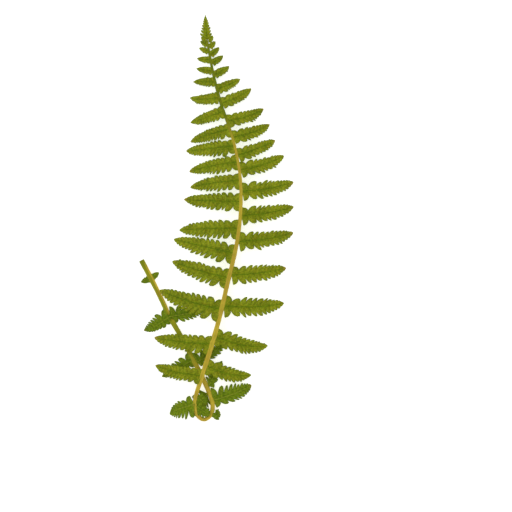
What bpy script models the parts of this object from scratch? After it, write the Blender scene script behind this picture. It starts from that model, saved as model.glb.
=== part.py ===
"""Cut fern frond lying on a flat surface.

The frond is one stem and its leaflets (pinnae).  The bare lower stem, the stipe, lies on the
surface, turns back on itself in a narrow loop and carries on as the rachis, which arches over
the stipe and comes down to the tip.  A pinna is a thin lobed blade that starts beside the stem
and droops towards the surface.

Metres, +Z up.  +Y runs from the loop to the tip, and the origin is under the middle of the frond.
"""

import math

import bmesh
import bpy
import numpy as np
from mathutils import Vector

MM = 0.001

# ---------------------------------------------------------------- driving dimensions
BLADE_THICKNESS = 0.0005
STEM_GAP = 0.0008          # from the stem's side to the foot of a pinna
POINTS_PER_BEND = 3        # stem points between two rows of STEM_ROUTE
STEM_SIDES = 2             # bevel resolution: 8 sides

LOBE_CROWDING = 0.62       # share of even spacing; the rest packs the lobes towards the tip
LENGTH_PER_LOBE = 0.0062
FEWEST_LOBES = 3
LOBE_CORNERS = (0.26, 0.68)    # where a lobe is full width, between the gaps on its two sides
BLADE_WIDTH = 0.0024       # width of a pinna = BLADE_WIDTH + WIDTH_PER_LENGTH * length
WIDTH_PER_LENGTH = 0.29
NOTCH_AT_FOOT = 0.56       # depth of the gaps between lobes, as a share of the half width
NOTCH_AT_TIP = 0.12
NOTCHED_LENGTH = 0.040     # pinnae shorter than this have shallower gaps
LOBE_LEAN = 0.42           # how far a lobe leans towards the tip, per unit of its length
UPPER_LOBE = 0.92          # lobes on the side of the frond's tip are a little shorter
LOWER_LOBE = 1.22          # lobes on the other side are longer near the stem
LONG_LOWER_LOBES = {"pinna_03_left": 1.5, "pinna_04_left": 1.45, "pinna_05_left": 1.3}
OUTLINE = (2.4, 0.65)      # half width of a pinna: (1 - share ** first) ** second
APEX_OUTLINE = 0.85        # half width of the apex: (1 - share) ** this
FOOT_WIDTH = 0.44          # width of a blade's foot as a share of its greatest width
TIP_WIDTH = 0.0007

DROOP_ARCH = 0.030         # height of a pinna's arch over the straight line, per unit of length
BLADE_ROLL = math.radians(7.0)
BLADE_FOLD = 0.10          # fall of a blade's edges below its midrib, per unit of width

# Centre line of the stem from its cut end: x, y, height and radius, in millimetres.
STEM_ROUTE = (
    (-81.6, -45.6, 2.6, 2.6),
    (-71.0, -65.7, 2.5, 2.4),
    (-59.4, -89.0, 2.4, 2.3),
    (-50.9, -107.1, 2.4, 2.3),
    (-39.2, -127.2, 2.4, 2.3),
    (-28.6, -147.3, 2.5, 2.3),
    (-18.0, -167.5, 3.0, 2.3),
    (-9.5, -185.5, 4.0, 2.25),
    (-4.2, -201.4, 5.4, 2.2),
    (-6.4, -213.1, 6.8, 2.2),
    (-13.8, -218.4, 8.0, 2.2),
    (-21.2, -212.0, 9.3, 2.2),
    (-23.3, -200.3, 10.4, 2.2),
    (-21.2, -188.7, 11.2, 2.25),
    (-17.0, -176.0, 11.8, 2.3),
    (-12.7, -162.2, 12.2, 2.3),
    (-7.4, -145.2, 12.5, 2.25),
    (-3.2, -131.4, 12.6, 2.2),
    (2.1, -112.4, 12.7, 2.15),
    (7.4, -91.2, 12.8, 2.1),
    (11.7, -72.1, 12.8, 2.05),
    (17.0, -50.9, 12.7, 2.0),
    (21.7, -29.7, 12.6, 1.9),
    (24.9, -8.5, 12.4, 1.8),
    (26.5, 12.7, 12.0, 1.7),
    (26.5, 33.9, 11.5, 1.65),
    (24.9, 51.9, 11.0, 1.6),
    (21.7, 70.0, 10.3, 1.55),
    (17.5, 86.9, 9.6, 1.5),
    (11.7, 104.9, 8.7, 1.45),
    (5.3, 123.0, 7.7, 1.4),
    (0.0, 142.0, 6.6, 1.3),
    (-4.2, 160.1, 5.4, 1.2),
    (-7.4, 177.0, 4.2, 1.1),
    (-10.1, 192.9, 3.0, 0.9),
    (-10.6, 197.0, 2.7, 0.8),
)

# Pinnae: distance along the stem from its cut end (mm), length in plan (mm), bearing in plan
# (degrees from +X towards +Y), height of the tip (mm) and bow of the midrib towards the frond's
# tip, per unit of length.
LEFT_PINNAE = (
    (249, 52, 168, 7.0, -0.04),
    (285, 63, 174, 6.6, -0.02),
    (324, 70, 163, 6.8, -0.03),
    (359, 64, 164, 2.6, -0.02),
    (386, 68, 167, 1.6, 0.0),
    (414, 65, 182, 1.2, 0.01),
    (443, 62, 178, 1.6, -0.01),
    (466, 55, 188, 1.2, 0.02),
    (486, 54, 191, 1.6, 0.02),
    (504, 53, 186, 0.9, -0.01),
    (523, 45, 198, 2.4, 0.02),
    (543, 38, 198, 1.2, -0.01),
    (559, 32, 180, 1.6, -0.06),
    (577, 24, 180, 1.6, 0.0),
    (589, 18, 171, 2.0, -0.01),
    (601, 15, 172, 1.8, -0.01),
    (610, 12, 158, 1.8, 0.04),
    (617, 10, 149, 1.0, 0.04),
    (621, 9, 141, 3.4, 0.04),
)
RIGHT_PINNAE = (
    (261, 51, -13, 1.6, -0.08),
    (294, 59, -11, 1.0, -0.07),
    (328, 67, 2, 0.9, -0.04),
    (362, 62, 7, 0.9, -0.03),
    (399, 62, 9, 0.8, -0.035),
    (427, 59, 10, 0.9, -0.03),
    (454, 58, 10, 0.9, -0.04),
    (477, 51, 18, 1.1, -0.05),
    (493, 45, 22, 1.2, -0.03),
    (513, 43, 20, 1.4, -0.05),
    (532, 42, 19, 1.2, -0.06),
    (552, 37, 27, 1.6, -0.05),
    (568, 28, 25, 1.6, -0.02),
    (584, 20, 31, 1.9, -0.04),
    (597, 16, 35, 1.9, -0.03),
    (606, 14, 42, 1.8, -0.03),
    (614, 11, 47, 1.9, -0.03),
    (620, 10, 55, 1.9, -0.03),
)
# Pinnae below the blade have one more value, a width factor.
LOWER_PINNAE = {
    "stipe_pinna_1_left": (23, 12, -162, 2.0, 0.02, 1.4),
    "stipe_pinna_1_right": (23, 11, 38, 3.2, -0.02, 1.4),
    "stipe_pinna_2_left": (69, 32, -152, 1.0, 0.05, 1.4),
    "stipe_pinna_2_right": (69, 40, 14, 1.4, 0.03, 1.35),
    "stipe_pinna_3_left": (122, 39, -151, 1.0, 0.03, 1.2),
    "stipe_pinna_3_right": (126, 43, 42, 1.8, 0.14, 1.1),
    "stipe_pinna_4_right": (157, 34, 62, 2.4, 0.0, 1.1),
    "loop_pinna_right": (171, 46, 21, 1.4, 0.04, 1.15),
    "loop_pinna_inner": (160, 32, -120, 1.4, 0.0, 1.45),
    "loop_pinna_cross": (227, 16, -42, 6.4, -0.05, 1.4),
    "loop_pinna_spike_1": (176, 16, -60, 1.8, 0.0, 0.85),
    "loop_pinna_spike_2": (184, 12, -46, 3.4, 0.0, 0.8),
    "loop_pinna_left": (217, 30, -157, 1.6, 0.06, 1.45),
    "loop_pinna_over": (216, 20, -34, 12.6, 0.0, 1.3),
}
APEX_TIP = (-12.2, 221.5, 1.0)     # tip of the frond (mm)
APEX_WIDTH = 0.0110
APEX_LOBES = 7

STEM_COLOUR = (0.47, 0.33, 0.08)
BLADE_COLOUR = (0.20, 0.24, 0.025)
UNDERSIDE_COLOUR = (0.13, 0.21, 0.02)


def clear_scene():
    """Remove whatever the scene holds."""
    for old in list(bpy.data.objects):
        bpy.data.objects.remove(old, do_unlink=True)


def make_material(name, colour, roughness):
    """A Principled material with one base colour."""
    material = bpy.data.materials.new(name)
    material.use_nodes = True
    shader = material.node_tree.nodes["Principled BSDF"]
    shader.inputs["Base Color"].default_value = (*colour, 1.0)
    shader.inputs["Roughness"].default_value = roughness
    shader.inputs["Metallic"].default_value = 0.0
    return material


def smooth_route(rows, steps):
    """Points of a Catmull-Rom curve through the rows, `steps` of them for each span."""
    rows = np.array(rows, dtype=float)
    ends = np.vstack([2 * rows[0] - rows[1], rows, 2 * rows[-1] - rows[-2]])
    points = []
    for start in range(len(rows) - 1):
        a, b, c, d = ends[start:start + 4]
        for t in np.arange(steps) / steps:
            points.append(0.5 * (2 * b + (c - a) * t + (2 * a - 5 * b + 4 * c - d) * t**2
                                 + (3 * b - a - 3 * c + d) * t**3))
    points.append(rows[-1])
    return np.array(points)


class Stem:
    """The stem's centre line, which is read by distance from the cut end."""

    def __init__(self, rows):
        points = smooth_route(rows, 16) * MM
        steps = np.linalg.norm(np.diff(points[:, :3], axis=0), axis=1)
        self.stations = np.concatenate([[0.0], np.cumsum(steps)])
        self.points = points

    def at(self, station):
        """Centre point and radius at a distance along the stem."""
        x, y, z, radius = (np.interp(station, self.stations, self.points[:, i]) for i in range(4))
        return Vector((x, y, z)), radius

    def heading(self, station):
        """Unit direction of growth in plan at a distance along the stem."""
        reach = 0.002
        along = self.at(station + reach)[0] - self.at(station - reach)[0]
        return Vector((along.x, along.y, 0.0)).normalized()


def add_stem(rows, material, collection):
    """A tapering round tube along the smoothed route, with closed ends."""
    points = smooth_route(rows, POINTS_PER_BEND) * MM
    curve = bpy.data.curves.new("stem", "CURVE")
    curve.dimensions = "3D"
    curve.bevel_depth = 1.0
    curve.bevel_resolution = STEM_SIDES
    curve.use_fill_caps = True
    spline = curve.splines.new("POLY")
    spline.points.add(len(points) - 1)
    for target, (x, y, z, radius) in zip(spline.points, points):
        target.co = (x, y, z, 1.0)
        target.radius = radius
    stem = bpy.data.objects.new("stem", curve)
    curve.materials.append(material)
    collection.objects.link(stem)
    return stem


def lobe_place(lobe, lobes):
    """Share of a midrib's length at which a given lobe number lies: lobes crowd to the tip."""
    even = LOBE_CROWDING
    crowd = 1.0 - even
    return (math.sqrt(even**2 + 4 * crowd * lobe / lobes) - even) / (2 * crowd)


def half_width(share, is_lobe, width, length, pointed):
    """Half the width of a blade at a share of its length, at a lobe or at a gap."""
    fullness, roundness = OUTLINE
    taper = (1.0 - share) ** APEX_OUTLINE if pointed else (1.0 - share**fullness) ** roundness
    outline = 0.5 * width * taper
    if is_lobe:
        return outline
    notch = NOTCH_AT_FOOT + (NOTCH_AT_TIP - NOTCH_AT_FOOT) * share
    return outline * (1.0 - notch * min(1.0, length / NOTCHED_LENGTH))


def add_blade(name, foot, tip, heading, width, lobes, bow, roll, material, collection):
    """A lobed blade from foot to tip: a grid of three columns, shaped and given thickness.

    Each lobe has a row at each of its two corners and a row at the gap after it.  The foot's row
    lies along `heading`, the stem's direction, and the blade's upper side is the one that it
    points to.
    """
    run = tip - foot
    length = run.length
    along = run.normalized()
    upper_side = (heading - along * heading.dot(along))
    upper_side.z = 0.0
    upper_side.normalize()
    steps = (0.0, *LOBE_CORNERS)
    rows = len(steps) * lobes
    lower_lobe = LONG_LOWER_LOBES.get(name, LOWER_LOBE)
    shape = bmesh.new()
    bmesh.ops.create_grid(shape, x_segments=rows, y_segments=2, size=1.0)
    for vertex in shape.verts:
        row = round((vertex.co.x + 1.0) / 2.0 * rows)
        column = round(vertex.co.y)
        lobe, step = divmod(row, len(steps))
        share = lobe_place(lobe + steps[step], lobes)
        if row == 0:
            reach = FOOT_WIDTH * width / 2
        elif row == rows:
            reach = TIP_WIDTH / 2
        else:
            reach = half_width(share, step > 0, width, length, name == "apex")
        reach *= UPPER_LOBE if column > 0 else lower_lobe + (1 - lower_lobe) * share
        swell = 4 * share * (1 - share) * length
        middle = foot + run * share + upper_side * bow * swell
        middle.z += DROOP_ARCH * swell
        side = heading if row == 0 else upper_side
        across = side * column * reach * math.cos(roll)
        lean = along * LOBE_LEAN * reach * abs(column) * (1 - share) * min(row, 1)
        fall = reach * (math.sin(roll) * column + BLADE_FOLD * abs(column))
        vertex.co = middle + across + lean - Vector((0, 0, fall))
    shape.normal_update()
    if sum((face.normal.z for face in shape.faces), 0.0) < 0:
        bmesh.ops.reverse_faces(shape, faces=shape.faces)
    mesh = bpy.data.meshes.new(name)
    shape.to_mesh(mesh)
    shape.free()
    mesh.materials.append(material)
    blade = bpy.data.objects.new(name, mesh)
    thickness = blade.modifiers.new("thickness", "SOLIDIFY")
    thickness.thickness = BLADE_THICKNESS
    thickness.offset = 0.0
    collection.objects.link(blade)
    return blade


def add_pinna(name, stem, row, width_factor, material, collection):
    """One pinna beside the stem, from its row of the tables above."""
    station, length, bearing, tip_height, bow = row
    centre, radius = stem.at(station * MM)
    heading = stem.heading(station * MM)
    angle = math.radians(bearing)
    outward = Vector((math.cos(angle), math.sin(angle), 0.0))
    openness = max(abs(outward.cross(heading).z), 0.5)
    foot = centre + outward * (radius + STEM_GAP) / openness
    foot.z += 0.3 * radius
    tip = centre + outward * length * MM
    tip.z = tip_height * MM
    blade_length = (tip - foot).length
    width = (BLADE_WIDTH + WIDTH_PER_LENGTH * blade_length) * width_factor
    lobes = max(FEWEST_LOBES, round(1 + blade_length / LENGTH_PER_LOBE))
    return add_blade(name, foot, tip, heading, width, lobes, bow, BLADE_ROLL, material,
                     collection)


def add_apex(stem, material, collection):
    """The undivided end of the frond: a narrow toothed blade past the end of the stem."""
    end, _ = stem.at(stem.stations[-1])
    tip = Vector(APEX_TIP) * MM
    foot = end + (tip - end).normalized() * STEM_GAP
    right = (tip - foot).cross(Vector((0, 0, 1))).normalized()
    return add_blade("apex", foot, tip, right, APEX_WIDTH, APEX_LOBES, 0.0, 0.0, material,
                     collection)


def centre_over_base(collection):
    """Parent the frond to an empty that puts the middle of its base at the origin."""
    bpy.context.view_layer.update()
    graph = bpy.context.evaluated_depsgraph_get()
    corners = []
    for item in collection.objects:
        mesh = item.evaluated_get(graph).to_mesh()
        places = np.empty(3 * len(mesh.vertices))
        mesh.vertices.foreach_get("co", places)
        places = places.reshape(-1, 3)
        corners += [places.min(axis=0), places.max(axis=0)]
    low = np.min(corners, axis=0)
    high = np.max(corners, axis=0)
    frame = bpy.data.objects.new("frond_origin", None)
    for item in list(collection.objects):
        item.parent = frame
    collection.objects.link(frame)
    frame.location = (-(low[0] + high[0]) / 2, -(low[1] + high[1]) / 2, -low[2])


def main():
    clear_scene()
    collection = bpy.data.collections.new("fern_frond")
    bpy.context.scene.collection.children.link(collection)
    bark = make_material("stem_bark", STEM_COLOUR, 0.5)
    leaf = make_material("leaf_upper", BLADE_COLOUR, 0.6)
    under = make_material("leaf_underside", UNDERSIDE_COLOUR, 0.6)

    add_stem(STEM_ROUTE, bark, collection)
    stem = Stem(STEM_ROUTE)
    for side, rows in (("left", LEFT_PINNAE), ("right", RIGHT_PINNAE)):
        for number, row in enumerate(rows, start=1):
            add_pinna(f"pinna_{number:02d}_{side}", stem, row, 1.0, leaf, collection)
    for name, (*row, width_factor) in LOWER_PINNAE.items():
        add_pinna(name, stem, row, width_factor, under, collection)
    add_apex(stem, leaf, collection)
    centre_over_base(collection)


main()
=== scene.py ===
import math

import bpy
import numpy as np
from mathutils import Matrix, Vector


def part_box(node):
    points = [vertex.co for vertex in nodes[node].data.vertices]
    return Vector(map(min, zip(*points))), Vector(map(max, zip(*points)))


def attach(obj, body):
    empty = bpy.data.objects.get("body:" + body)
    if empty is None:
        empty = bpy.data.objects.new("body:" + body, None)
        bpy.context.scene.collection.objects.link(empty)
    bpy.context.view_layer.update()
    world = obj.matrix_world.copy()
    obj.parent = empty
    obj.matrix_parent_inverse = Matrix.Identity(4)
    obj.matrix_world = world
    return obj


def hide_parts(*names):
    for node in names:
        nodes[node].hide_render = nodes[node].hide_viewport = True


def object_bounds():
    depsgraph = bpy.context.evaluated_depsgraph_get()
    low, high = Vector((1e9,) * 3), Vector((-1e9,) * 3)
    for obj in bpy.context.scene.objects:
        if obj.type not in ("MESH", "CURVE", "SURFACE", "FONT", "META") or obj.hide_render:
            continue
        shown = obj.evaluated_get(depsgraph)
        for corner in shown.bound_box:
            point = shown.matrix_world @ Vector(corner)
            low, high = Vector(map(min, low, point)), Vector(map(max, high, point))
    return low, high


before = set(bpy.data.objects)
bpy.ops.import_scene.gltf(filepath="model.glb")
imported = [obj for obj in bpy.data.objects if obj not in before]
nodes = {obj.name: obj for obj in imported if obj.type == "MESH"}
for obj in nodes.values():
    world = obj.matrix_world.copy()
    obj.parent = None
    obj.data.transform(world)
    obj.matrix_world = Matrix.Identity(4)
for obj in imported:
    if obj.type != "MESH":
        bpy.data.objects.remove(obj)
cadBox = [list(corner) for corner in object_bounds()]
mm = 0.001
print("frame loaded:", len(nodes), "nodes")


def smoothStep(low, high, x):
    # 0 up to low, 1 from high on, 3t^2 - 2t^3 in between
    t = np.clip((x - low) / (high - low), 0.0, 1.0)
    return t * t * (3.0 - 2.0 * t)


def bell(x, width):
    # exp(-(x / width)^2), a hump of height 1
    return np.exp(-(x / width) ** 2)


def unit(vectors):
    # each vector over its own length
    return vectors / np.maximum(np.linalg.norm(vectors, axis=-1, keepdims=True), 1e-12)


def smoothRoute(rows, steps):
    # Catmull-Rom: the cubic of every span at once, `steps` points to a span
    rows = np.asarray(rows, float)
    ends = np.vstack([2 * rows[0] - rows[1], rows, 2 * rows[-1] - rows[-2]])
    a, b, c, d = (ends[i:len(ends) - 3 + i, None] for i in range(4))
    t = (np.arange(steps) / steps)[None, :, None]
    spans = 0.5 * (2 * b + (c - a) * t + (2 * a - 5 * b + 4 * c - d) * t**2
                   + (3 * b - a - 3 * c + d) * t**3)
    return np.vstack([spans.reshape(-1, rows.shape[1]), rows[-1:]])


def tubeFaces(rows, ring):
    # quads between neighbouring rings of points, each ring closed on itself
    i = np.arange(rows - 1)[:, None] * ring
    j = np.arange(ring)[None, :]
    k = (j + 1) % ring
    return np.stack([i + j, i + k, i + ring + k, i + ring + j], axis=-1).reshape(-1, 4)


def fanFaces(ringStart, ring, pole, outward):
    # triangles from a pole to each side of one ring
    j = ringStart + np.arange(ring)
    k = ringStart + (np.arange(ring) + 1) % ring
    middle = np.full(ring, pole)
    return np.stack([j, k, middle] if outward else [k, j, middle], axis=-1)


def makePiece(name, points, quads, triangles, sharpDegrees):
    # one closed, smooth-shaded mesh object at the origin
    mesh = bpy.data.meshes.new(name)
    mesh.from_pydata(points.tolist(), [], quads.tolist() + triangles.tolist())
    mesh.shade_smooth()
    mesh.set_sharp_from_angle(angle=math.radians(sharpDegrees))
    piece = bpy.data.objects.new(name, mesh)
    bpy.context.scene.collection.objects.link(piece)
    return piece


def addUv(piece, name, values):
    # a UV map from one pair of values to a vertex
    mesh = piece.data
    corners = np.empty(len(mesh.loops), int)
    mesh.loops.foreach_get("vertex_index", corners)
    mesh.uv_layers.new(name=name).data.foreach_set("uv", values[corners].astype(np.float32).ravel())


def addField(piece, name, values, kind="FLOAT"):
    # a vertex attribute
    field = piece.data.attributes.new(name, kind, "POINT")
    field.data.foreach_set("value" if kind == "FLOAT" else "vector",
                           np.asarray(values, np.float32).ravel())


stemPlan = {
    # centre line from the cut end: x, y, height, radius (mm)
    "route": [
        (-81.6, -45.6, 2.6, 2.6), (-71.0, -65.7, 2.5, 2.4), (-59.4, -89.0, 2.4, 2.3),
        (-50.9, -107.1, 2.4, 2.3), (-39.2, -127.2, 2.4, 2.3), (-28.6, -147.3, 2.5, 2.3),
        (-18.0, -167.5, 3.0, 2.3), (-9.5, -185.5, 4.0, 2.25), (-4.2, -201.4, 5.4, 2.2),
        (-6.4, -213.1, 6.8, 2.2), (-13.8, -218.4, 8.0, 2.2), (-21.2, -212.0, 9.3, 2.2),
        (-23.3, -200.3, 10.4, 2.2), (-21.2, -188.7, 11.2, 2.25), (-17.0, -176.0, 11.8, 2.3),
        (-12.7, -162.2, 12.2, 2.3), (-7.4, -145.2, 12.5, 2.25), (-3.2, -131.4, 12.6, 2.2),
        (2.1, -112.4, 12.7, 2.15), (7.4, -91.2, 12.8, 2.1), (11.7, -72.1, 12.8, 2.05),
        (17.0, -50.9, 12.7, 2.0), (21.7, -29.7, 12.6, 1.9), (24.9, -8.5, 12.4, 1.8),
        (26.5, 12.7, 12.0, 1.7), (26.5, 33.9, 11.5, 1.65), (24.9, 51.9, 11.0, 1.6),
        (21.7, 70.0, 10.3, 1.55), (17.5, 86.9, 9.6, 1.5), (11.7, 104.9, 8.7, 1.45),
        (5.3, 123.0, 7.7, 1.4), (0.0, 142.0, 6.6, 1.3), (-4.2, 160.1, 5.4, 1.2),
        (-7.4, 177.0, 4.2, 1.1), (-10.1, 192.9, 3.0, 0.9), (-10.6, 197.0, 2.7, 0.8),
    ],
    "stepsPerSpan": 12,
    "sides": 48,
    "girth": 0.97,           # share of the frame's radius
    # breadth over height of the section: stations, then the values at them
    "breadth": ((0.0, 0.150, 0.190, 0.240, 0.290, 0.420, 0.500),
                (1.19, 1.19, 1.04, 1.04, 1.24, 1.20, 1.0)),
    "upperGain": 0.22,       # the green upper rachis is winged, so it is thicker
    "upperFrom": 0.48,
    "upperTo": 0.58,
    "grooveDepth": 0.20,     # the groove along the rachis, share of the radius
    "grooveWidth": 0.34,     # radians
    "stipeGroove": 0.35,     # share of it that the stipe has
    "turnFrom": 0.165,       # stations between which the stem turns its groove up
    "turnTo": 0.225,
    "shoulder": 0.05,        # rounded banks of the groove
    "shoulderAt": 0.62,
    "shoulderWidth": 0.26,
    "rib": 0.018,
    "ribs": 7,
    "uneven": ((0.020, 210.0, 0.0), (0.014, 517.0, 1.0)),   # size, rate along the stem, phase
    "nodeSwell": 0.16,       # thickening where a leaflet joins
    "nodeReach": 2.6 * mm,
    "nodeRound": 0.6,        # share of it that goes all the way round
    "nodeGroove": 0.6,       # share of it that the groove loses
    "endTaper": 0.45,        # the stem thins out under the frond's tip
    "taperReach": 9.0 * mm,
    "tipReach": 0.6 * mm,
    "cutInset": 0.45,        # the cut face bulges: share of the radius at its inner ring
    "cutDepth": 0.1 * mm,    # and how far that ring stands out
    "sharp": 50,             # degrees past which an edge is shaded sharp
}


def readStem(plan):
    # the centre line in the frame's place, with station, heading and radius at each point
    route = smoothRoute(plan["route"], plan["stepsPerSpan"]) * mm
    centre, radius = route[:, :3], route[:, 3]
    own = ((centre - radius[:, None]).min(0) + (centre + radius[:, None]).max(0)) / 2
    low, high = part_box("stem")
    centre = centre + (np.array(low) + np.array(high)) / 2 - own
    along = np.gradient(centre, axis=0)
    steps = np.linalg.norm(np.diff(centre, axis=0), axis=1)
    return {"centre": centre, "radius": radius, "along": unit(along),
            "station": np.concatenate([[0.0], np.cumsum(steps)])}


def growStem(plan, stem, joints):
    # A profile along the centre line. With a the angle from the groove, the profile's radius is
    # 1 - groove * bell(a) + shoulder * bell(|a| - place) + rib * cos(ribs * a), times the stem's
    # radius, which grows by upperGain along the upper rachis and tapers at the tip. Its points go
    # out by breadth times cos to the right and by sin upwards. A joint at station s adds
    # swell * bell(station - s) * (round + (1 - round) * cos(angle to its side)).
    station, radius, along, centre = (stem[key] for key in ("station", "radius", "along", "centre"))
    right = unit(np.cross(along, [0.0, 0.0, 1.0]))
    top = np.cross(right, along)
    ring = np.arange(plan["sides"]) / plan["sides"] * 2 * math.pi
    turned = smoothStep(plan["turnFrom"], plan["turnTo"], station)
    turn = math.pi * (1.0 - turned)
    angle = (ring[None, :] - math.pi / 2 - turn[:, None] + math.pi) % (2 * math.pi) - math.pi
    inGroove = bell(angle, plan["grooveWidth"])
    onShoulder = bell(np.abs(angle) - plan["shoulderAt"], plan["shoulderWidth"])
    grooved = (plan["stipeGroove"] + (1.0 - plan["stipeGroove"]) * turned)[:, None]
    profile = (1.0 - grooved * plan["grooveDepth"] * inGroove
               + grooved * plan["shoulder"] * onShoulder
               + plan["rib"] * np.cos(plan["ribs"] * angle))
    uneven = sum(size * np.sin(rate * station + phase) for size, rate, phase in plan["uneven"])
    profile *= (1.0 - uneven)[:, None]
    near = np.zeros_like(profile)
    for place, side in joints:
        facing = plan["nodeRound"] + (1.0 - plan["nodeRound"]) * side * np.cos(ring)[None, :]
        near += bell(station - place, plan["nodeReach"])[:, None] * facing
    profile += plan["nodeSwell"] * np.minimum(near, 1.0) * (1.0 - plan["nodeGroove"] * inGroove)
    taper = 1.0 - plan["endTaper"] * smoothStep(station[-1] - plan["taperReach"], station[-1], station)
    winged = 1.0 + plan["upperGain"] * smoothStep(plan["upperFrom"], plan["upperTo"], station)
    reach = (radius * taper * winged)[:, None] * plan["girth"] * profile
    outwards = right * np.interp(station, *plan["breadth"])[:, None]
    across, up = np.cos(ring)[None, :, None], np.sin(ring)[None, :, None]
    skin = centre[:, None] + reach[..., None] * (across * outwards[:, None] + up * top[:, None])

    rows, sides = reach.shape
    inset = plan["cutInset"] * skin[0] + (1.0 - plan["cutInset"]) * centre[0]
    poles = [centre[0] - plan["cutDepth"] / 2 * along[0], centre[-1] + plan["tipReach"] * along[-1]]
    points = np.vstack([inset - plan["cutDepth"] * along[0], skin.reshape(-1, 3), poles])
    points = np.clip(points, cadBox[0], cadBox[1])
    footPole, tipPole = len(points) - 2, len(points) - 1
    quads = tubeFaces(rows + 1, sides)
    ends = np.vstack([fanFaces(0, sides, footPole, False),
                      fanFaces(rows * sides, sides, tipPole, True)])
    piece = makePiece("frondStem", points, quads, ends, plan["sharp"])

    stations = np.broadcast_to(station[:, None], reach.shape)
    trace = np.stack([np.cos(angle), np.sin(angle), stations], axis=-1).reshape(-1, 3)
    addField(piece, "sectionMap", np.vstack([trace[:sides], trace, trace[:1], trace[-1:]]), "FLOAT_VECTOR")
    side = np.broadcast_to(np.cos(ring)[None, :], reach.shape).ravel()
    addField(piece, "rightSide", np.concatenate([side[:sides], side, [0.0, 0.0]]))
    addField(piece, "nearJoint", np.concatenate([near[0], near.ravel(), [0.0, 0.0]]))
    cut = np.zeros(len(points))
    cut[:sides] = 1.0
    cut[footPole] = 1.0
    addField(piece, "cutFace", cut)
    return piece


bladePlan = {
    # spacing of the lobes = lobePitch + pitchPerLength * length
    "lobePitch": 0.5 * mm,
    "pitchPerLength": 0.085,
    "smallestPitch": 1.6 * mm,
    "fewestLobes": 5,
    "crowding": 0.72,             # share of even spacing; the rest packs lobes towards the tip
    "rowsPerLobe": 16,
    "columns": 11,                # on each side of the midrib
    "columnCrowding": 0.45,       # they lie closer towards the rim
    # outline = (1 - u^fullness)^roundness; pairs are for a short and a long leaflet
    "pointed": False,             # a straight-sided point in place of that
    "fullness": (1.45, 2.4),
    "roundness": (0.95, 0.65),
    "shortGain": 0.34,            # short leaflets are wider by up to this share
    "longFrom": 45.0 * mm,
    "reachGain": 1.01,
    "reachVary": 0.05,            # random change from lobe to lobe
    "tipRatio": (1.25, 1.10),     # lower lobes over upper lobes at the tip
    "ratioPower": 1.6,
    "gapAtFoot": 0.62,            # depth of the gaps between lobes, share of the lobe's reach
    "gapAtTip": 0.20,
    "gapPower": 0.9,
    "notchedLength": 72 * mm,     # shorter blades have shallower gaps
    "lobePower": 2.1,
    "lobeEdge": 0.62,
    "firstLobe": 0.16,            # share of the first lobe that the stem takes the place of
    "toothDepth": 0.040,
    "teethPerLobe": 4,
    "lean": {"upper": (0.46, 0.76), "lower": (0.32, 0.60)},   # at the foot and at the tip
    "leanVary": 0.06,
    "leanFade": 6,                # the lean goes as 1 - u^leanFade at the very tip
    "leastReach": 0.01 * mm,
    "curve": 0.35,                # lobes bend forward: lean grows with the distance from the midrib
    "besideStem": 2.2,            # lobes from the foot over which they turn from the stem's direction
    # heights
    "curl": 0.065,
    "pillow": 0.34 * mm,
    "pillowPower": 0.7,
    "pillowDrop": 0.6,
    "pillowFrom": (0.12, 0.8),    # shares of the reach between which it rises
    "pillowReach": 5.0 * mm,      # narrower sides have less of it
    "twist": 0.06,                # random turn of each lobe
    "leastDepth": 0.05,           # of a gap, for the share of a lobe that is free to turn
    "wave": 0.30 * mm,
    "waves": ((0.6, 9.0, 0.0), (0.4, 17.0, 2.2)),   # size, rate along the blade, rate across it
    # sheets
    "thick": 0.14 * mm,
    "leastThick": 0.15 * mm,
    "rimPower": 6,                # the sheets meet at the rim as 1 - |v|^rimPower
    "tipBody": 0.35,              # share of the thickness left at the tip
    "tipPower": 3,
    "midribWidth": (0.5775 * mm, 0.165 * mm),       # at the foot and at the tip
    "midribSunk": 0.9,            # above, shares of the thickness: a groove between two banks
    "midribBank": 1.1,
    "midribRise": 0.42 * mm,      # below
    "veinWidth": 0.085,           # share of a lobe
    "veinFrom": (0.02, 0.2),      # shares of the reach over which it starts and ends
    "veinTo": (0.75, 1.0),
    "veinDip": 0.09 * mm,
    "veinRise": 0.14 * mm,
    "floorGap": 0.12 * mm,
    "topGap": 0.02 * mm,          # below the frame's highest point
    "sharp": 70,                  # degrees past which an edge is shaded sharp
    # the foot
    "flank": 0.76,                # where the blade's base meets the stem, share of its radius
    "flankTo": 1.15,              # lobes over which the base leaves the flank
    "rooted": 0.25 * mm,          # how deep the base goes into the stem
    "stalk": 0.80 * mm,           # half width of the strip that goes on from the midrib
    "stalkTaper": 0.35,           # share of that width lost at its end
    "strip": 0.36,                # how far it goes on past the flank, share of the stem's radius
    "stripEnd": 0.78,             # height of its end, likewise
    "bridge": 0.0,                # height of a strip that crosses the stem, likewise
    "footRows": 4,
}
leftPlan = {
    "lobePitch": -0.7 * mm, "pitchPerLength": 0.094, "notchedLength": 84 * mm,
    "lobePower": 2.4, "lobeEdge": 0.56,
    "lean": {"upper": (0.14, 0.50), "lower": (0.30, 0.56)},
    "flank": 0.42,                # these cover one side of the stem
}
loopPlan = {
    "lobePitch": 2.0 * mm, "pitchPerLength": 0.06, "notchedLength": 30 * mm, "reachGain": 1.25,
}
stipePlan = {
    "lobePitch": 1.4 * mm, "pitchPerLength": 0.075, "notchedLength": 40 * mm, "gapAtTip": 0.30,
}
pairPlan = {                      # the small pair near the cut
    "fullness": (1.15, 2.4), "roundness": (0.80, 0.65), "shortGain": 0.20, "curve": 0.1,
    "lean": {"upper": (0.30, 0.30), "lower": (0.20, 0.20)},
}
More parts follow.
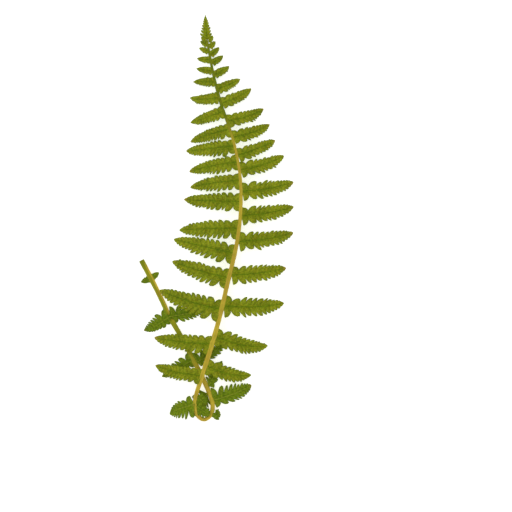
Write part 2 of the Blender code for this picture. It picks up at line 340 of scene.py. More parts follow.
bridgePlan = {                    # the next pair covers the stem
    "bridge": 1.44, "stalk": 3.0 * mm, "strip": 0.80, "footRows": 9,
    "bridgeStep": 0.14,           # share of the strip over which it climbs
    "bridgeEdge": (0.8, 1.1),     # it ends between these shares of the stalk
}
apexPlan = {
    "pointed": True, "pointPower": 0.95,   # outline = (1 - u)^pointPower
    "reachGain": 1.20, "tipRatio": (1.0, 1.0), "gapAtTip": 0.25, "notchedLength": 10 * mm,
    "lobePitch": 3.3 * mm, "pitchPerLength": 0.0, "lobeEdge": 0.75, "firstLobe": 0.20,
    "lean": {"upper": (0.72, 0.80), "lower": (0.72, 0.80)}, "curve": 0.1,
    "startBack": 3.4 * mm,        # it starts this far down the stem
    "crestGap": 0.2 * mm,         # and lies this far above it, up to crestTo
    "crestTo": 4.4 * mm,
    "sunkFoot": 0.5,              # its foot is this far back and up, shares of the stem's radius
}
placePlans = {"loop_": loopPlan, "stipe_": stipePlan, "stipe_pinna_1": pairPlan,
              "stipe_pinna_2": bridgePlan, "apex": apexPlan}

frameBlade = {
    "wall": 0.56 * mm,            # edges this short join the two sheets at the rim
    "onMidrib": 0.2 * mm,         # points this near the midrib's line give its two ends
    "sideFrom": 0.5 * mm,         # rim points past this tell the reach of a side
    "heightWeight": 3.0,          # heights count more in the search for the nearest stem point
    "leastOpen": 0.5,             # limits of the angle between blade and stem
    "mostSlant": 0.9,
}


def planFor(node):
    # the general plan with the changes for this leaflet's place
    plan = dict(bladePlan, turned=node.startswith(("stipe_", "loop_")))
    if node.endswith("_left"):
        plan.update(leftPlan)
    for start, changes in placePlans.items():
        if node.startswith(start):
            plan.update(changes)
    return plan


def readBlade(name, stem):
    # The frame's blade: its midrib as two quadratics over the share u of its length, and the
    # reach and slope of its two sides.
    mesh = nodes[name].data
    raw = np.empty(len(mesh.vertices) * 3)
    mesh.vertices.foreach_get("co", raw)
    points, same = np.unique(np.round(raw.reshape(-1, 3), 6), axis=0, return_inverse=True)
    same = same.ravel()
    pairs = np.empty(len(mesh.edges) * 2, int)
    mesh.edges.foreach_get("vertices", pairs)
    pairs = same[pairs.reshape(-1, 2)]
    span = np.linalg.norm(points[pairs[:, 0]] - points[pairs[:, 1]], axis=1)
    rim = np.zeros(len(points), bool)
    rim[pairs[span < frameBlade["wall"]].ravel()] = True
    spine = points[~rim]
    middle = spine[:, :2].mean(0)
    level = points[:, :2] - middle
    axis = np.linalg.svd(spine[:, :2] - middle, full_matrices=False)[2][0]
    t = level @ axis
    ends = spine[[t[~rim].argmin(), t[~rim].argmax()]]
    away = np.linalg.norm(stem["centre"][None] - ends[:, None], axis=-1).min(1)
    if away[1] < away[0]:                          # the foot is the end beside the stem
        axis, t = -axis, -t
    left = np.array([-axis[1], axis[0]])
    side = level @ left
    bow = np.polyfit(t[~rim], side[~rim], 2)
    close = np.abs(side - np.polyval(bow, t)) < frameBlade["onMidrib"]
    start, end = t[close].min(), t[close].max()
    foot = middle + axis * start + left * np.polyval(bow, start)
    tip = middle + axis * end + left * np.polyval(bow, end)
    length = np.linalg.norm(tip - foot)
    along = (tip - foot) / length
    left = np.array([-along[1], along[0]])
    above = np.abs(stem["centre"][:, 2] - spine[:, 2].max())
    apart = np.linalg.norm(stem["centre"][:, :2] - foot, axis=1) + frameBlade["heightWeight"] * above
    at = np.argmin(apart)
    heading = unit(stem["along"][at, :2])
    hand = 1.0 if heading @ left > 0 else -1.0
    across = left * hand                           # towards the frond's tip
    steepest = frameBlade["mostSlant"]
    u = (points[:, :2] - foot) @ along / length
    w = (points[:, :2] - foot) @ across
    bow = np.polyfit(u[~rim], w[~rim], 2)
    arch = np.polyfit(u[~rim], points[~rim, 2], 2)
    off = w - np.polyval(bow, u)
    rise = points[:, 2] - np.polyval(arch, u)
    sides = {}
    for key, sign in (("upper", 1.0), ("lower", -1.0)):
        mine = rim & (off * sign > frameBlade["sideFrom"])
        away = np.abs(off[mine])
        sides[key] = (away.max(), (rise[mine] * away).sum() / (away**2).sum())
    return {"foot": foot, "along": along, "across": across, "hand": hand, "length": length,
            "bow": bow, "arch": arch, "at": at, "sides": sides,
            "openness": max(heading @ across, frameBlade["leastOpen"]),
            "slant": float(np.clip(heading @ along / (heading @ across), -steepest, steepest)),
            "fromStem": (foot - stem["centre"][at, :2]) @ along}


def startBack(blade, back):
    # Moves a blade's foot back along its own line; the two quadratics are rewritten for the new u.
    longer = blade["length"] + back
    scale, shift = longer / blade["length"], -back / blade["length"]
    for key in ("bow", "arch"):
        a, b, c = blade[key]
        blade[key] = np.array([a * scale**2, 2 * a * scale * shift + b * scale,
                               a * shift**2 + b * shift + c])
    blade["foot"] = blade["foot"] - back * blade["along"]
    blade["length"] = longer


def lobeRows(plan, length):
    # Rows along the blade. q counts lobes from the foot and is close-set at the gaps; the stem
    # takes the place of the first lobe up to q0. The share u of the length solves
    # (q - q0) / (n - q0) = c u + (1 - c) u^2, so lobes crowd towards the tip.
    pitch = max(plan["smallestPitch"], plan["lobePitch"] + plan["pitchPerLength"] * length)
    lobes = max(plan["fewestLobes"], round(1 + length / pitch))
    step = np.arange(plan["rowsPerLobe"]) / plan["rowsPerLobe"]
    q = (np.arange(lobes)[:, None] + (1 - np.cos(math.pi * step)) / 2).ravel()
    start = plan["firstLobe"]
    q[:len(step)] = start + (1 - start) * q[:len(step)]
    even, crowd = plan["crowding"], 1.0 - plan["crowding"]
    share = (q - start) / (lobes - start)
    return lobes, q, (np.sqrt(even**2 + 4 * crowd * share) - even) / (2 * crowd)


def lobeEdges(plan, blade, lobes, q, u, random):
    # Each side's reach, half width and lean at every row. Reach is the outline times the side's
    # width. With f the place within a lobe, half width = gap + (reach - gap) * S,
    # S = (1 - |2f - 1|^lobePower)^lobeEdge, less small teeth.
    whole = np.minimum(q.astype(int), lobes - 1)
    f = q % 1.0
    swell = (1.0 - np.abs(2 * f - 1) ** plan["lobePower"]) ** plan["lobeEdge"]
    teeth = 0.5 - 0.5 * np.cos(2 * math.pi * plan["teethPerLobe"] * f)
    short = 1.0 - min(1.0, blade["length"] / plan["longFrom"])
    between = lambda pair: short * pair[0] + (1 - short) * pair[1]
    if plan["pointed"]:
        outline = (1.0 - u) ** plan["pointPower"]
    else:
        outline = (1.0 - u ** between(plan["fullness"])) ** between(plan["roundness"])
        outline *= 1 + plan["shortGain"] * short
    depth = plan["gapAtFoot"] + (plan["gapAtTip"] - plan["gapAtFoot"]) * u ** plan["gapPower"]
    depth *= min(1.0, blade["length"] / plan["notchedLength"])
    wide = blade["sides"]["upper"][0] * plan["reachGain"] * outline
    atFoot, atTip = blade["sides"]["lower"][0] / blade["sides"]["upper"][0], between(plan["tipRatio"])
    narrow = wide * (atTip + (atFoot - atTip) * (1 - u) ** plan["ratioPower"])
    edges = {}
    for key, reach in (("upper", wide), ("lower", narrow)):
        vary = 1.0 + plan["reachVary"] * random.standard_normal(lobes)[whole]
        gap = (1.0 - depth) * wide
        half = gap + np.maximum(reach * vary * (1 - plan["toothDepth"] * teeth) - gap, 0.0) * swell
        tilt = np.interp(q, np.arange(lobes + 1), plan["leanVary"] * random.standard_normal(lobes + 1))
        atFoot, atTip = plan["lean"][key]
        lean = (atFoot + (atTip - atFoot) * u + tilt) * (1 - u ** plan["leanFade"])
        edges[key] = {"reach": np.maximum(reach, plan["leastReach"]), "half": half, "lean": lean}
    return f, whole, depth, edges


def growBlade(name, plan, blade, stem, seed):
    # A grid over lobe number q and v from -1 to 1 across. A point at distance y from the midrib
    # moves forward by lean * y * (1 + curve * y / reach), and its height is the midrib's, plus
    # slope * y, less curl * reach * (y / reach)^3, plus a pillow in each lobe, a twist and a wave.
    # The first lobes lie along the stem instead, and the first row touches its flank. Before it
    # come the rows of a strip that climbs the stem. A bridge's height above the axis is
    # sqrt((bridge * radius)^2 - distance^2), so it arches over the stem.
    random = np.random.default_rng(seed)
    length, sides = blade["length"], blade["sides"]
    lobes, q, u = lobeRows(plan, length)
    f, whole, depth, edges = lobeEdges(plan, blade, lobes, q, u, random)

    v = np.linspace(-1.0, 1.0, 2 * plan["columns"] + 1)
    crowd = plan["columnCrowding"]
    v = np.sign(v) * ((1 - crowd) * np.abs(v) + crowd * (1 - (1 - np.abs(v)) ** 2))
    upper = v[None, :] > 0
    pick = lambda key: np.where(upper, edges["upper"][key][:, None], edges["lower"][key][:, None])
    reach = pick("reach")
    y = v[None, :] * pick("half")
    dist = np.abs(y)
    share = dist / reach
    u2, f2 = u[:, None], f[:, None]
    seated = not plan["pointed"]                   # the frond's tip has no foot on the stem's flank
    beside = (1.0 - smoothStep(plan["firstLobe"], plan["besideStem"], q)[:, None]) * seated
    onFlank = np.maximum(blade["slant"] * y, 0.0)
    s = (u2 * length + (1 - beside) * pick("lean") * dist * (1 + plan["curve"] * share)
         + beside * onFlank)
    side = np.polyval(blade["bow"], u2) + y
    slope = np.where(upper, sides["upper"][1], sides["lower"][1])
    depth = depth[:, None]
    free = smoothStep(0.0, 1.0, (share - 1 + depth) / np.maximum(depth, plan["leastDepth"]))
    turn = plan["twist"] * random.standard_normal((2, lobes))[:, whole]
    phase = random.uniform(0, 2 * math.pi, 2)
    pillow = (np.sin(math.pi * f2) ** plan["pillowPower"] - plan["pillowDrop"]) \
        * smoothStep(*plan["pillowFrom"], share)
    wave = sum(size * np.sin(u2 * rate + start + across * v)
               for (size, rate, across), start in zip(plan["waves"], phase))
    z = (np.polyval(blade["arch"], u2) + slope * dist - plan["curl"] * reach * share**3
         + plan["pillow"] * pillow * np.minimum(1.0, reach / plan["pillowReach"])
         + np.where(upper, turn[0][:, None], turn[1][:, None]) * (f2 - 0.5) * dist * free
         + plan["wave"] * wave * share)

    # the base runs along the stem's flank
    radius, axisHeight = stem["radius"][blade["at"]], stem["centre"][blade["at"], 2]
    arched = lambda away, size: axisHeight + np.sqrt(np.maximum((size * radius)**2 - away**2, 0.0))
    if seated:
        flank = -blade["fromStem"] + plan["flank"] * radius / blade["openness"]
        flankHeight = axisHeight + radius * math.sqrt(1 - plan["flank"]**2) - plan["rooted"]
    else:
        flank, flankHeight = -plan["sunkFoot"] * radius, axisHeight + plan["sunkFoot"] * radius
    hug = (1.0 - smoothStep(plan["firstLobe"], plan["flankTo"], q)[:, None]) * seated
    s += hug * (flank + onFlank - s)
    z += hug**2 * (flankHeight - z)
    if plan["bridge"]:
        fromAxis = (s + blade["fromStem"] - blade["slant"] * y) * blade["openness"]
        lift = np.maximum(arched(fromAxis, plan["bridge"]) - z, 0.0)
        z += (1.0 - smoothStep(*plan["bridgeEdge"], dist / plan["stalk"])) * lift
    if plan["pointed"]:
        crest = arched(dist, 1.0) + plan["crestGap"]
        z = np.where(s < plan["crestTo"], np.maximum(z, crest), z)

    # a narrow strip goes on from the midrib, up over the stem's shoulder
    over = np.linspace(1.0, 0.0, plan["footRows"], endpoint=False)[:, None]
    yStrip = v[None, :] * plan["stalk"] * (1 - plan["stalkTaper"] * over)
    onward = flank - plan["strip"] * radius * over
    if plan["bridge"]:
        dome = arched((onward + blade["fromStem"]) * blade["openness"], plan["bridge"])
        zStrip = flankHeight + (dome - flankHeight) * smoothStep(0.0, plan["bridgeStep"], over)
    else:
        zStrip = flankHeight + (axisHeight + plan["stripEnd"] * radius - flankHeight) * over
    s = np.vstack([onward + blade["slant"] * yStrip, s])
    side = np.vstack([np.polyval(blade["bow"], 0.0) + yStrip, side])
    z = np.vstack([np.broadcast_to(zStrip, yStrip.shape), z])
    dist = np.vstack([np.abs(yStrip), dist])
    share = np.vstack([np.abs(yStrip) / reach[:1], share])
    q, u = (np.concatenate([np.full(plan["footRows"], rows[0]), rows]) for rows in (q, u))

    piece, ring = closeSheets(name, plan, blade, s, side, z, v, q, u, dist, share)
    rows, columns = s.shape
    full = lambda grid: np.concatenate([grid, grid[:, -2:0:-1]], axis=1).ravel()
    number = full(np.broadcast_to(q[:, None], s.shape))
    signed = full(share * np.sign(v)[None, :])
    veinMap = np.stack([np.append(number, [0.0, lobes]), np.append(signed, [0.0, 0.0])], axis=-1)
    addUv(piece, "veinMap", veinMap)
    below = np.zeros(ring)
    below[columns:] = 1.0
    below[[0, columns - 1]] = 0.5
    addField(piece, "underside", np.append(np.tile(below, rows), [0.5, 0.5]))
    addField(piece, "tipward", np.append(full(np.broadcast_to(u[:, None], s.shape)), [0.0, 1.0]))
    return piece


def closeSheets(name, plan, blade, s, side, z, v, q, u, dist, share):
    # The upper and lower sheets stand off the middle surface by half the thickness, with grooves
    # over the veins above and ribs along them below, and meet at the rim and at two end poles.
    body = 1.0 - np.abs(v)[None, :] ** plan["rimPower"]
    body = body * (plan["tipBody"] + (1 - plan["tipBody"]) * (1 - u ** plan["tipPower"]))[:, None]
    atFoot, atTip = plan["midribWidth"]
    width = (atFoot + (atTip - atFoot) * u)[:, None]
    rib, banks = bell(dist, width), bell(dist - 2 * width, width)
    vein = (bell((q % 1.0 - 0.5)[:, None], plan["veinWidth"])
            * smoothStep(*plan["veinFrom"], share) * (1 - smoothStep(*plan["veinTo"], share)))
    above = body * (plan["thick"] * (1 - plan["midribSunk"] * rib + plan["midribBank"] * banks)
                    - plan["veinDip"] * vein)
    below = body * (plan["thick"] + plan["midribRise"] * rib + plan["veinRise"] * vein)
    if plan["turned"]:
        above, below = below, above
    plane = blade["foot"] + s[..., None] * blade["along"] + side[..., None] * blade["across"]
    lowest, highest = plan["floorGap"], cadBox[1][2] - plan["topGap"]
    top = np.clip(z + above, lowest + plan["leastThick"], highest)
    low = np.clip(z - below, lowest, highest - plan["leastThick"])
    low[:, [0, -1]] = top[:, [0, -1]]
    topSheet, lowSheet = (np.concatenate([plane, height[..., None]], axis=-1) for height in (top, low))
    rings = np.concatenate([topSheet, lowSheet[:, -2:0:-1]], axis=1)
    rows, ring = rings.shape[:2]
    end = blade["foot"] + blade["along"] * blade["length"] + blade["across"] * np.polyval(blade["bow"], 1.0)
    tip = np.append(end, max(np.polyval(blade["arch"], 1.0), lowest))
    points = np.vstack([rings.reshape(-1, 3), rings[0].mean(0), tip])
    quads = tubeFaces(rows, ring)
    ends = np.vstack([fanFaces(0, ring, rows * ring, False),
                      fanFaces((rows - 1) * ring, ring, rows * ring + 1, True)])
    if blade["hand"] > 0:
        quads, ends = quads[:, ::-1], ends[:, ::-1]
    return makePiece(name, points, quads, ends, plan["sharp"]), ring


def colour(red, green, blue):
    # a screen colour, 0 to 255, as the linear colour that a shader takes
    value = np.array([red, green, blue]) / 255.0
    linear = np.where(value <= 0.04045, value / 12.92, ((value + 0.055) / 1.055) ** 2.4)
    return (*linear.tolist(), 1.0)


def feed(tree, socket, value):
    # a socket gets a link or a fixed value
    if isinstance(value, bpy.types.NodeSocket):
        tree.links.new(value, socket)
    else:
        socket.default_value = value


def maths(tree, operation, first, second=0.0, clamp=False):
    node = tree.nodes.new("ShaderNodeMath")
    node.operation = operation
    node.use_clamp = clamp
    feed(tree, node.inputs[0], first)
    feed(tree, node.inputs[1], second)
    return node.outputs[0]


def times(tree, first, second):
    return maths(tree, "MULTIPLY", first, second)


def ease(tree, value, low, high):
    # a smooth step from 0 at low to 1 at high
    node = tree.nodes.new("ShaderNodeMapRange")
    node.interpolation_type = "SMOOTHSTEP"
    feed(tree, node.inputs["Value"], value)
    node.inputs["From Min"].default_value = low
    node.inputs["From Max"].default_value = high
    return node.outputs["Result"]


def fade(tree, value, low, high):
    # a smooth step from 1 at low to 0 at high
    return maths(tree, "SUBTRACT", 1.0, ease(tree, value, low, high))


def tint(tree, tone, mask, share, paint, clamp=False):
    # a tone moved towards a paint by share * mask
    node = tree.nodes.new("ShaderNodeMix")
    node.data_type = "RGBA"
    feed(tree, node.inputs[0], maths(tree, "MULTIPLY", mask, share, clamp))
    feed(tree, node.inputs[6], tone)
    feed(tree, node.inputs[7], paint)
    return node.outputs[2]


def noise(tree, vector, scale, detail, roughness=0.5):
    node = tree.nodes.new("ShaderNodeTexNoise")
    inputs = {"Vector": vector, "Scale": scale, "Detail": detail, "Roughness": roughness}
    for title, value in inputs.items():
        feed(tree, node.inputs[title], value)
    return node.outputs["Fac"]


def readField(tree, name, output="Fac"):
    # a vertex attribute in a shader
    node = tree.nodes.new("ShaderNodeAttribute")
    node.attribute_name = name
    return node.outputs[output]


def newGroup(name, inputs, outputs):
    # an empty node group with named sockets
    group = bpy.data.node_groups.new(name, "ShaderNodeTree")
    for title, kind, value in inputs:
        socket = group.interface.new_socket(title, in_out="INPUT", socket_type=kind)
        if value is not None:
            socket.default_value = value
    for title in outputs:
        group.interface.new_socket(title, in_out="OUTPUT", socket_type="NodeSocketFloat")
    return group, group.nodes.new("NodeGroupInput"), group.nodes.new("NodeGroupOutput")


def useGroup(tree, group, values):
    # the group's outputs by name
    node = tree.nodes.new("ShaderNodeGroup")
    node.node_tree = group
    for title, value in values.items():
        feed(tree, node.inputs[title], value)
    return {socket.name: socket for socket in node.outputs}


def newMaterial(name):
    material = bpy.data.materials.new(name)
    material.use_nodes = True
    return material, material.node_tree, material.node_tree.nodes["Principled BSDF"]


def finishSkin(tree, shader, look, tone, patches, height):
    # colour, roughness = roughness + roughPatches * patches, and bumps
    tree.links.new(tone, shader.inputs["Base Color"])
    rough = maths(tree, "ADD", times(tree, patches, look["roughPatches"]), look["roughness"])
    tree.links.new(rough, shader.inputs["Roughness"])
    shader.inputs["Specular IOR Level"].default_value = look["specular"]
    bump = tree.nodes.new("ShaderNodeBump")
    bump.inputs["Strength"].default_value = look["bumpStrength"]
    bump.inputs["Distance"].default_value = look["bumpDistance"]
    tree.links.new(height, bump.inputs["Height"])
    tree.links.new(bump.outputs[0], shader.inputs["Normal"])


veinAndShadePlan = {
    # each range is where a mask comes in or ends, in w across the side or d within the lobe
    "midrib": (0.02, 0.085),
    "lobeVein": (0.03, 0.16),
    "lobeVeinEnd": (0.70, 0.98),
    "veinlets": 5.5,              # how many to a side
    "veinletSlant": 1.5,
    "veinlet": (0.04, 0.16),
    "veinletFrom": (0.12, 0.22),
    "veinletEnd": (0.70, 0.95),
    # painted shade: the next three darken the rim and the sides of the gaps between lobes
    "rim": (0.62, 1.0),
    "gap": (0.55, 1.0),
    "gapFrom": (0.30, 0.65),
    "lobeMiddle": (0.1, 0.4),
    "web": (0.15, 0.65),
    "webBetween": 0.6,            # share of the web that is only between lobes
}


def buildVeinsAndShade(plan):
    # Masks over the vein map. With f the place within a lobe, d = |2f - 1| and w = |V|:
    # midrib where w is near 0, lobe vein where d is near 0, veinlets where
    # frac(veinlets * w - slant * d) is near 0.5, painted shade at the rim and beside the gaps,
    # web near the midrib and most between lobes.
    group, inlet, outlet = newGroup(
        "bladeVeinsAndShade",
        [("Map", "NodeSocketVector", None), ("Veinlets", "NodeSocketFloat", plan["veinlets"])],
        ("Midrib", "Lobe Vein", "Veinlet", "Margin", "Lobe Middle", "Web"))
    split = group.nodes.new("ShaderNodeSeparateXYZ")
    feed(group, split.inputs[0], inlet.outputs["Map"])
    w = maths(group, "ABSOLUTE", split.outputs["Y"])
    f = maths(group, "FRACT", split.outputs["X"])
    d = maths(group, "ABSOLUTE", maths(group, "SUBTRACT", times(group, f, 2.0), 1.0))
    stripes = maths(group, "SUBTRACT", times(group, w, inlet.outputs["Veinlets"]),
                    times(group, d, plan["veinletSlant"]))
    saw = maths(group, "ABSOLUTE", maths(group, "SUBTRACT", maths(group, "FRACT", stripes), 0.5))
    veinlet = times(group, fade(group, saw, *plan["veinlet"]), fade(group, d, *plan["veinletEnd"]))
    gapShade = times(group, ease(group, d, *plan["gap"]), ease(group, w, *plan["gapFrom"]))
    between = maths(group, "ADD", times(group, d, plan["webBetween"]), 1.0 - plan["webBetween"])
    masks = {
        "Midrib": fade(group, w, *plan["midrib"]),
        "Lobe Vein": times(group, fade(group, d, *plan["lobeVein"]), fade(group, w, *plan["lobeVeinEnd"])),
        "Veinlet": times(group, veinlet, ease(group, w, *plan["veinletFrom"])),
        # painted shade at the rim and beside the gaps between lobes
        "Margin": maths(group, "MAXIMUM", ease(group, w, *plan["rim"]), gapShade),
        "Lobe Middle": times(group, maths(group, "SUBTRACT", 1.0, d), ease(group, w, *plan["lobeMiddle"])),
        "Web": times(group, fade(group, w, *plan["web"]), between),
    }
    for title, socket in masks.items():
        group.links.new(socket, outlet.inputs[title])
    return group


mottlePlan = {
    # scale, detail, and the values of the noise that become 0 and 1
    "Broad": (70.0, 2.0, 0.36, 0.64),
    "Blotch": (240.0, 3.0, 0.42, 0.68),
    "Speckle": (620.0, 2.0, 0.34, 0.66),
}


def buildMottle(plan):
    # Three sizes of noise in one group: broad tone, blotches and fine speckle.
    scales = [(title + " Scale", "NodeSocketFloat", values[0]) for title, values in plan.items()]
    group, inlet, outlet = newGroup("plantMottle", [("Vector", "NodeSocketVector", None)] + scales, plan)
    for title, (_, detail, low, high) in plan.items():
        cloud = noise(group, inlet.outputs["Vector"], inlet.outputs[title + " Scale"], detail)
        group.links.new(ease(group, cloud, low, high), outlet.inputs[title])
    return group


veinAndShadeGroup = buildVeinsAndShade(veinAndShadePlan)
mottleGroup = buildMottle(mottlePlan)

leafLook = {
    "upper": {
        "blade": colour(137, 151, 18), "deep": colour(106, 124, 2), "midrib": colour(92, 118, 2),
        # margin tone: painted shade at the rim and beside the gaps between lobes
        "vein": colour(156, 164, 38), "marginShade": colour(106, 122, 6), "blotch": colour(150, 134, 18),
        "dry": colour(168, 146, 56),
    },
    "underside": {
        "blade": colour(112, 136, 6), "deep": colour(94, 122, 2), "midrib": colour(136, 148, 40),
        # margin tone: painted shade at the rim and beside the gaps between lobes
        "vein": colour(138, 156, 40), "marginShade": colour(92, 116, 2), "blotch": colour(124, 130, 12),
        "dry": colour(152, 138, 46),
    },
    # one over the other: mask, share of it, tone
    "tints": (("Broad", 1.0, "deep"), ("Blotch", 0.45, "blotch"), ("Web", 0.50, "deep"),
              ("Lobe Middle", 0.35, "vein"), ("Veinlet", 0.35, "vein"), ("Lobe Vein", 0.35, "vein"),
              # the Margin tint lays painted shade on the rim and beside the gaps between lobes
              ("Margin", 0.52, "marginShade"), ("Midrib", 0.85, "midrib"), ("Dry", 0.8, "dry")),
    "dryFrom": 0.88,         # share of the length
    "darkest": 0.75,         # brightness = darkest + speckle * Speckle
    "speckle": 0.50,
    "rimTurn": (0.25, 0.75),   # where the rim changes from one sheet's colour to the other's
    "roughness": 0.58,
    "roughPatches": 0.14,
    "specular": 0.10,
    "bumpSpeckle": 0.6,
    "bumpVeinlet": -0.8,
    "bumpStrength": 0.35,
    "bumpDistance": 0.12 * mm,
}


def skinColour(tree, tones, masks):
    # one sheet's colour from its seven tones
    tone = tones["blade"]
    for mask, share, paint in leafLook["tints"]:
        tone = tint(tree, tone, masks[mask], share, tones[paint])
    light = maths(tree, "ADD", times(tree, masks["Speckle"], leafLook["speckle"]), leafLook["darkest"])
    node = tree.nodes.new("ShaderNodeVectorMath")
    node.operation = "SCALE"
    tree.links.new(tone, node.inputs[0])
    tree.links.new(light, node.inputs["Scale"])
    return node.outputs[0]


def leafMaterial(name, aboveTones, belowTones):
    material, tree, shader = newMaterial(name)
    where = tree.nodes.new("ShaderNodeTexCoord").outputs["Object"]
    veinMap = tree.nodes.new("ShaderNodeUVMap")
    veinMap.uv_map = "veinMap"
    masks = {**useGroup(tree, veinAndShadeGroup, {"Map": veinMap.outputs[0]}),
             **useGroup(tree, mottleGroup, {"Vector": where})}
    tip = ease(tree, readField(tree, "tipward"), leafLook["dryFrom"], 1.0)
    masks["Dry"] = times(tree, tip, masks["Broad"])
    above = skinColour(tree, aboveTones, masks)
    below = skinColour(tree, belowTones, masks)
    under = ease(tree, readField(tree, "underside"), *leafLook["rimTurn"])
    height = maths(tree, "ADD", times(tree, masks["Speckle"], leafLook["bumpSpeckle"]),
                   times(tree, masks["Veinlet"], leafLook["bumpVeinlet"]))
    finishSkin(tree, shader, leafLook, tint(tree, above, under, 1.0, below), masks["Blotch"], height)
    return material


stemLook = {
    "tan": colour(217, 194, 64), "tanDeep": colour(198, 170, 50), "olive": colour(142, 150, 20),
    "green": colour(94, 119, 0), "brown": colour(170, 132, 52), "pith": colour(122, 126, 22),
    # the joint tone darkens the joints and is also painted shade in the groove
    "jointAndGrooveShade": colour(146, 146, 36), "cutEnd": colour(118, 134, 16),
    "fibreStretch": (3.2, 3.2, 55.0),
    "fibre": (2.0, 4.0, 0.6),     # scale, detail and roughness of its noise
    "fibreDeep": (0.38, 0.66),    # where it turns to the deep tan
    "broadScale": 45.0,
    "blotchScale": 320.0,
    "stipe": (0.10, 0.15),        # stations between which the stipe's olive fades out
    "oliveEdge": (-0.50, -0.15),  # it begins here, from -1 at the left to 1 at the right
    "oliveRound": (0.068, 0.080),    # and goes all the way round from here
    "oliveShare": 0.92,
    "patch": (0.55, 0.95),
    "patchShare": 0.30,
    "rachisGreen": (0.500, 0.550),   # stations between which the rachis turns green
    "greenUneven": 0.012,
    "jointShare": 0.40,
    "groove": (0.90, 1.0),        # cosine of the angle from the groove, over which painted shade darkens the groove
    "grooveShadeShare": 0.20,
    "blotchShare": 0.15,
    "cutReach": 0.016,            # the stalk is green for this far from the cut
    "cutShare": 0.85,
    "roughness": 0.42,
    "roughPatches": 0.25,
    "specular": 0.08,
    "bumpSpeckle": 0.3,
    "bumpStrength": 0.5,
    "bumpDistance": 0.15 * mm,
}


def stemMaterial(look):
    material, tree, shader = newMaterial("stemBark")
    trace = readField(tree, "sectionMap", "Vector")
    split = tree.nodes.new("ShaderNodeSeparateXYZ")
    tree.links.new(trace, split.inputs[0])
    station = split.outputs["Z"]
    stretch = tree.nodes.new("ShaderNodeVectorMath")
    stretch.operation = "MULTIPLY"
    tree.links.new(trace, stretch.inputs[0])
    stretch.inputs[1].default_value = look["fibreStretch"]
    fibre = noise(tree, stretch.outputs[0], *look["fibre"])
    where = tree.nodes.new("ShaderNodeTexCoord").outputs["Object"]
    mottle = useGroup(tree, mottleGroup, {"Vector": where, "Broad Scale": look["broadScale"],
                                          "Blotch Scale": look["blotchScale"]})
    oliveSide = maths(tree, "MAXIMUM", ease(tree, readField(tree, "rightSide"), *look["oliveEdge"]),
                      ease(tree, station, *look["oliveRound"]))
    olive = times(tree, fade(tree, station, *look["stipe"]), oliveSide)
    patch = ease(tree, mottle["Broad"], *look["patch"])
    uneven = maths(tree, "ADD", station, times(tree, fibre, look["greenUneven"]))
    # painted shade in the groove along the stem
    groove = ease(tree, split.outputs["X"], *look["groove"])

    tone = tint(tree, look["tan"], ease(tree, fibre, *look["fibreDeep"]), 1.0, look["tanDeep"])
    tone = tint(tree, tone, olive, look["oliveShare"], look["olive"])
    tone = tint(tree, tone, patch, look["patchShare"], look["brown"])
    tone = tint(tree, tone, ease(tree, uneven, *look["rachisGreen"]), 1.0, look["green"])
    tone = tint(tree, tone, readField(tree, "nearJoint"), look["jointShare"], look["jointAndGrooveShade"], True)
    # painted shade in the groove, in the joint tone
    tone = tint(tree, tone, groove, look["grooveShadeShare"], look["jointAndGrooveShade"])
    tone = tint(tree, tone, mottle["Blotch"], look["blotchShare"], look["brown"])
    tone = tint(tree, tone, fade(tree, station, 0.0, look["cutReach"]), look["cutShare"], look["cutEnd"])
    tone = tint(tree, tone, readField(tree, "cutFace"), 1.0, look["pith"])
    height = maths(tree, "ADD", fibre, times(tree, mottle["Speckle"], look["bumpSpeckle"]))
    finishSkin(tree, shader, look, tone, fibre, height)
    return material


stem = readStem(stemPlan)
leafTop = leafMaterial("leafUpperSkin", leafLook["upper"], leafLook["underside"])
leafTurned = leafMaterial("leafTurnedSkin", leafLook["underside"], leafLook["upper"])
print("materials made")

joints = []
leafNames = sorted(name for name in nodes if name != "stem")
for seed, node in enumerate(leafNames):
    plan = planFor(node)
    turned = plan["turned"]
    blade = readBlade(node, stem)
    if node == "apex":
        startBack(blade, plan["startBack"])
    piece = growBlade("leaf_" + node, plan, blade, stem, seed)
    piece.data.materials.append(leafTurned if turned else leafTop)
    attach(piece, "root")
    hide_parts(node)
    if node != "apex":
        heading = stem["along"][blade["at"], :2]
        rightwards = np.array([heading[1], -heading[0]])
        joints.append((stem["station"][blade["at"]], 1.0 if blade["along"] @ rightwards > 0 else -1.0))
print("leaflets grown:", len(leafNames))

stemPiece = growStem(stemPlan, stem, joints)
stemPiece.data.materials.append(stemMaterial(stemLook))
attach(stemPiece, "root")
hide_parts("stem")
print("stem grown")

studio = {
    "floorSize": 3.0,
    "floorColour": (0.95, 0.95, 0.945, 1.0),
    "floorGlow": 0.58,       # a lit table: shadows on it stay pale
    "floorRoughness": 0.9,
    "floorSpecular": 0.1,
    "white": (1.0, 1.0, 1.0, 1.0),
    "worldLight": 0.72,
    "keyPlace": (-0.9, 0.8, 1.8), "keySize": 1.4, "keyWatts": 12.0,
    "viewMiddle": (42.9 * mm, -41.8 * mm, 6.0 * mm),
    "viewWidth": 555.5 * mm,
    "lens": 135.0,
    "sensor": 36.0,
}


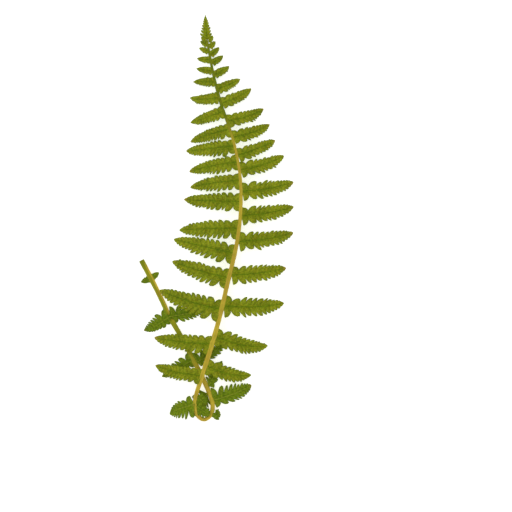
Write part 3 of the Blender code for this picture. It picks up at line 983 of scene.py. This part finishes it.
def layTable():
    # a flat square of four corners
    half = studio["floorSize"] / 2
    mesh = bpy.data.meshes.new("tableTop")
    corners = np.array([(-1, -1, 0), (1, -1, 0), (1, 1, 0), (-1, 1, 0)]) * [half, half, 0]
    mesh.from_pydata(corners.tolist(), [], [(0, 1, 2, 3)])
    table = bpy.data.objects.new("tableTop", mesh)
    bpy.context.scene.collection.objects.link(table)
    paint, _, shader = newMaterial("palePaint")
    shader.inputs["Base Color"].default_value = studio["floorColour"]
    shader.inputs["Emission Color"].default_value = studio["white"]
    shader.inputs["Emission Strength"].default_value = studio["floorGlow"]
    shader.inputs["Roughness"].default_value = studio["floorRoughness"]
    shader.inputs["Specular IOR Level"].default_value = studio["floorSpecular"]
    mesh.materials.append(paint)


def hangLight():
    # one wide soft lamp up and to the left, and an even pale sky
    lamp = bpy.data.lights.new("softKey", "AREA")
    lamp.shape = "DISK"
    lamp.size = studio["keySize"]
    lamp.energy = studio["keyWatts"]
    key = bpy.data.objects.new("softKey", lamp)
    place = np.array(studio["keyPlace"])
    key.location = place
    toMiddle = unit(np.array(studio["viewMiddle"]) - place)
    key.rotation_euler = (math.acos(-toMiddle[2]), 0.0, math.atan2(toMiddle[0], -toMiddle[1]))
    bpy.context.scene.collection.objects.link(key)
    world = bpy.data.worlds.new("paleSky")
    world.use_nodes = True
    sky = world.node_tree.nodes["Background"]
    sky.inputs["Color"].default_value = studio["white"]
    sky.inputs["Strength"].default_value = studio["worldLight"]
    bpy.context.scene.world = world


def setCamera():
    # straight above the middle of the view, with +Y up in it
    lens = bpy.data.cameras.new("topCamera")
    lens.lens = studio["lens"]
    lens.sensor_width = studio["sensor"]
    camera = bpy.data.objects.new("topCamera", lens)
    x, y, z = studio["viewMiddle"]
    camera.location = (x, y, z + studio["viewWidth"] * studio["lens"] / studio["sensor"])
    bpy.context.scene.collection.objects.link(camera)
    bpy.context.scene.camera = camera


layTable()
hangLight()
setCamera()
bpy.context.scene.view_settings.view_transform = "Standard"
print("table, light and camera set")
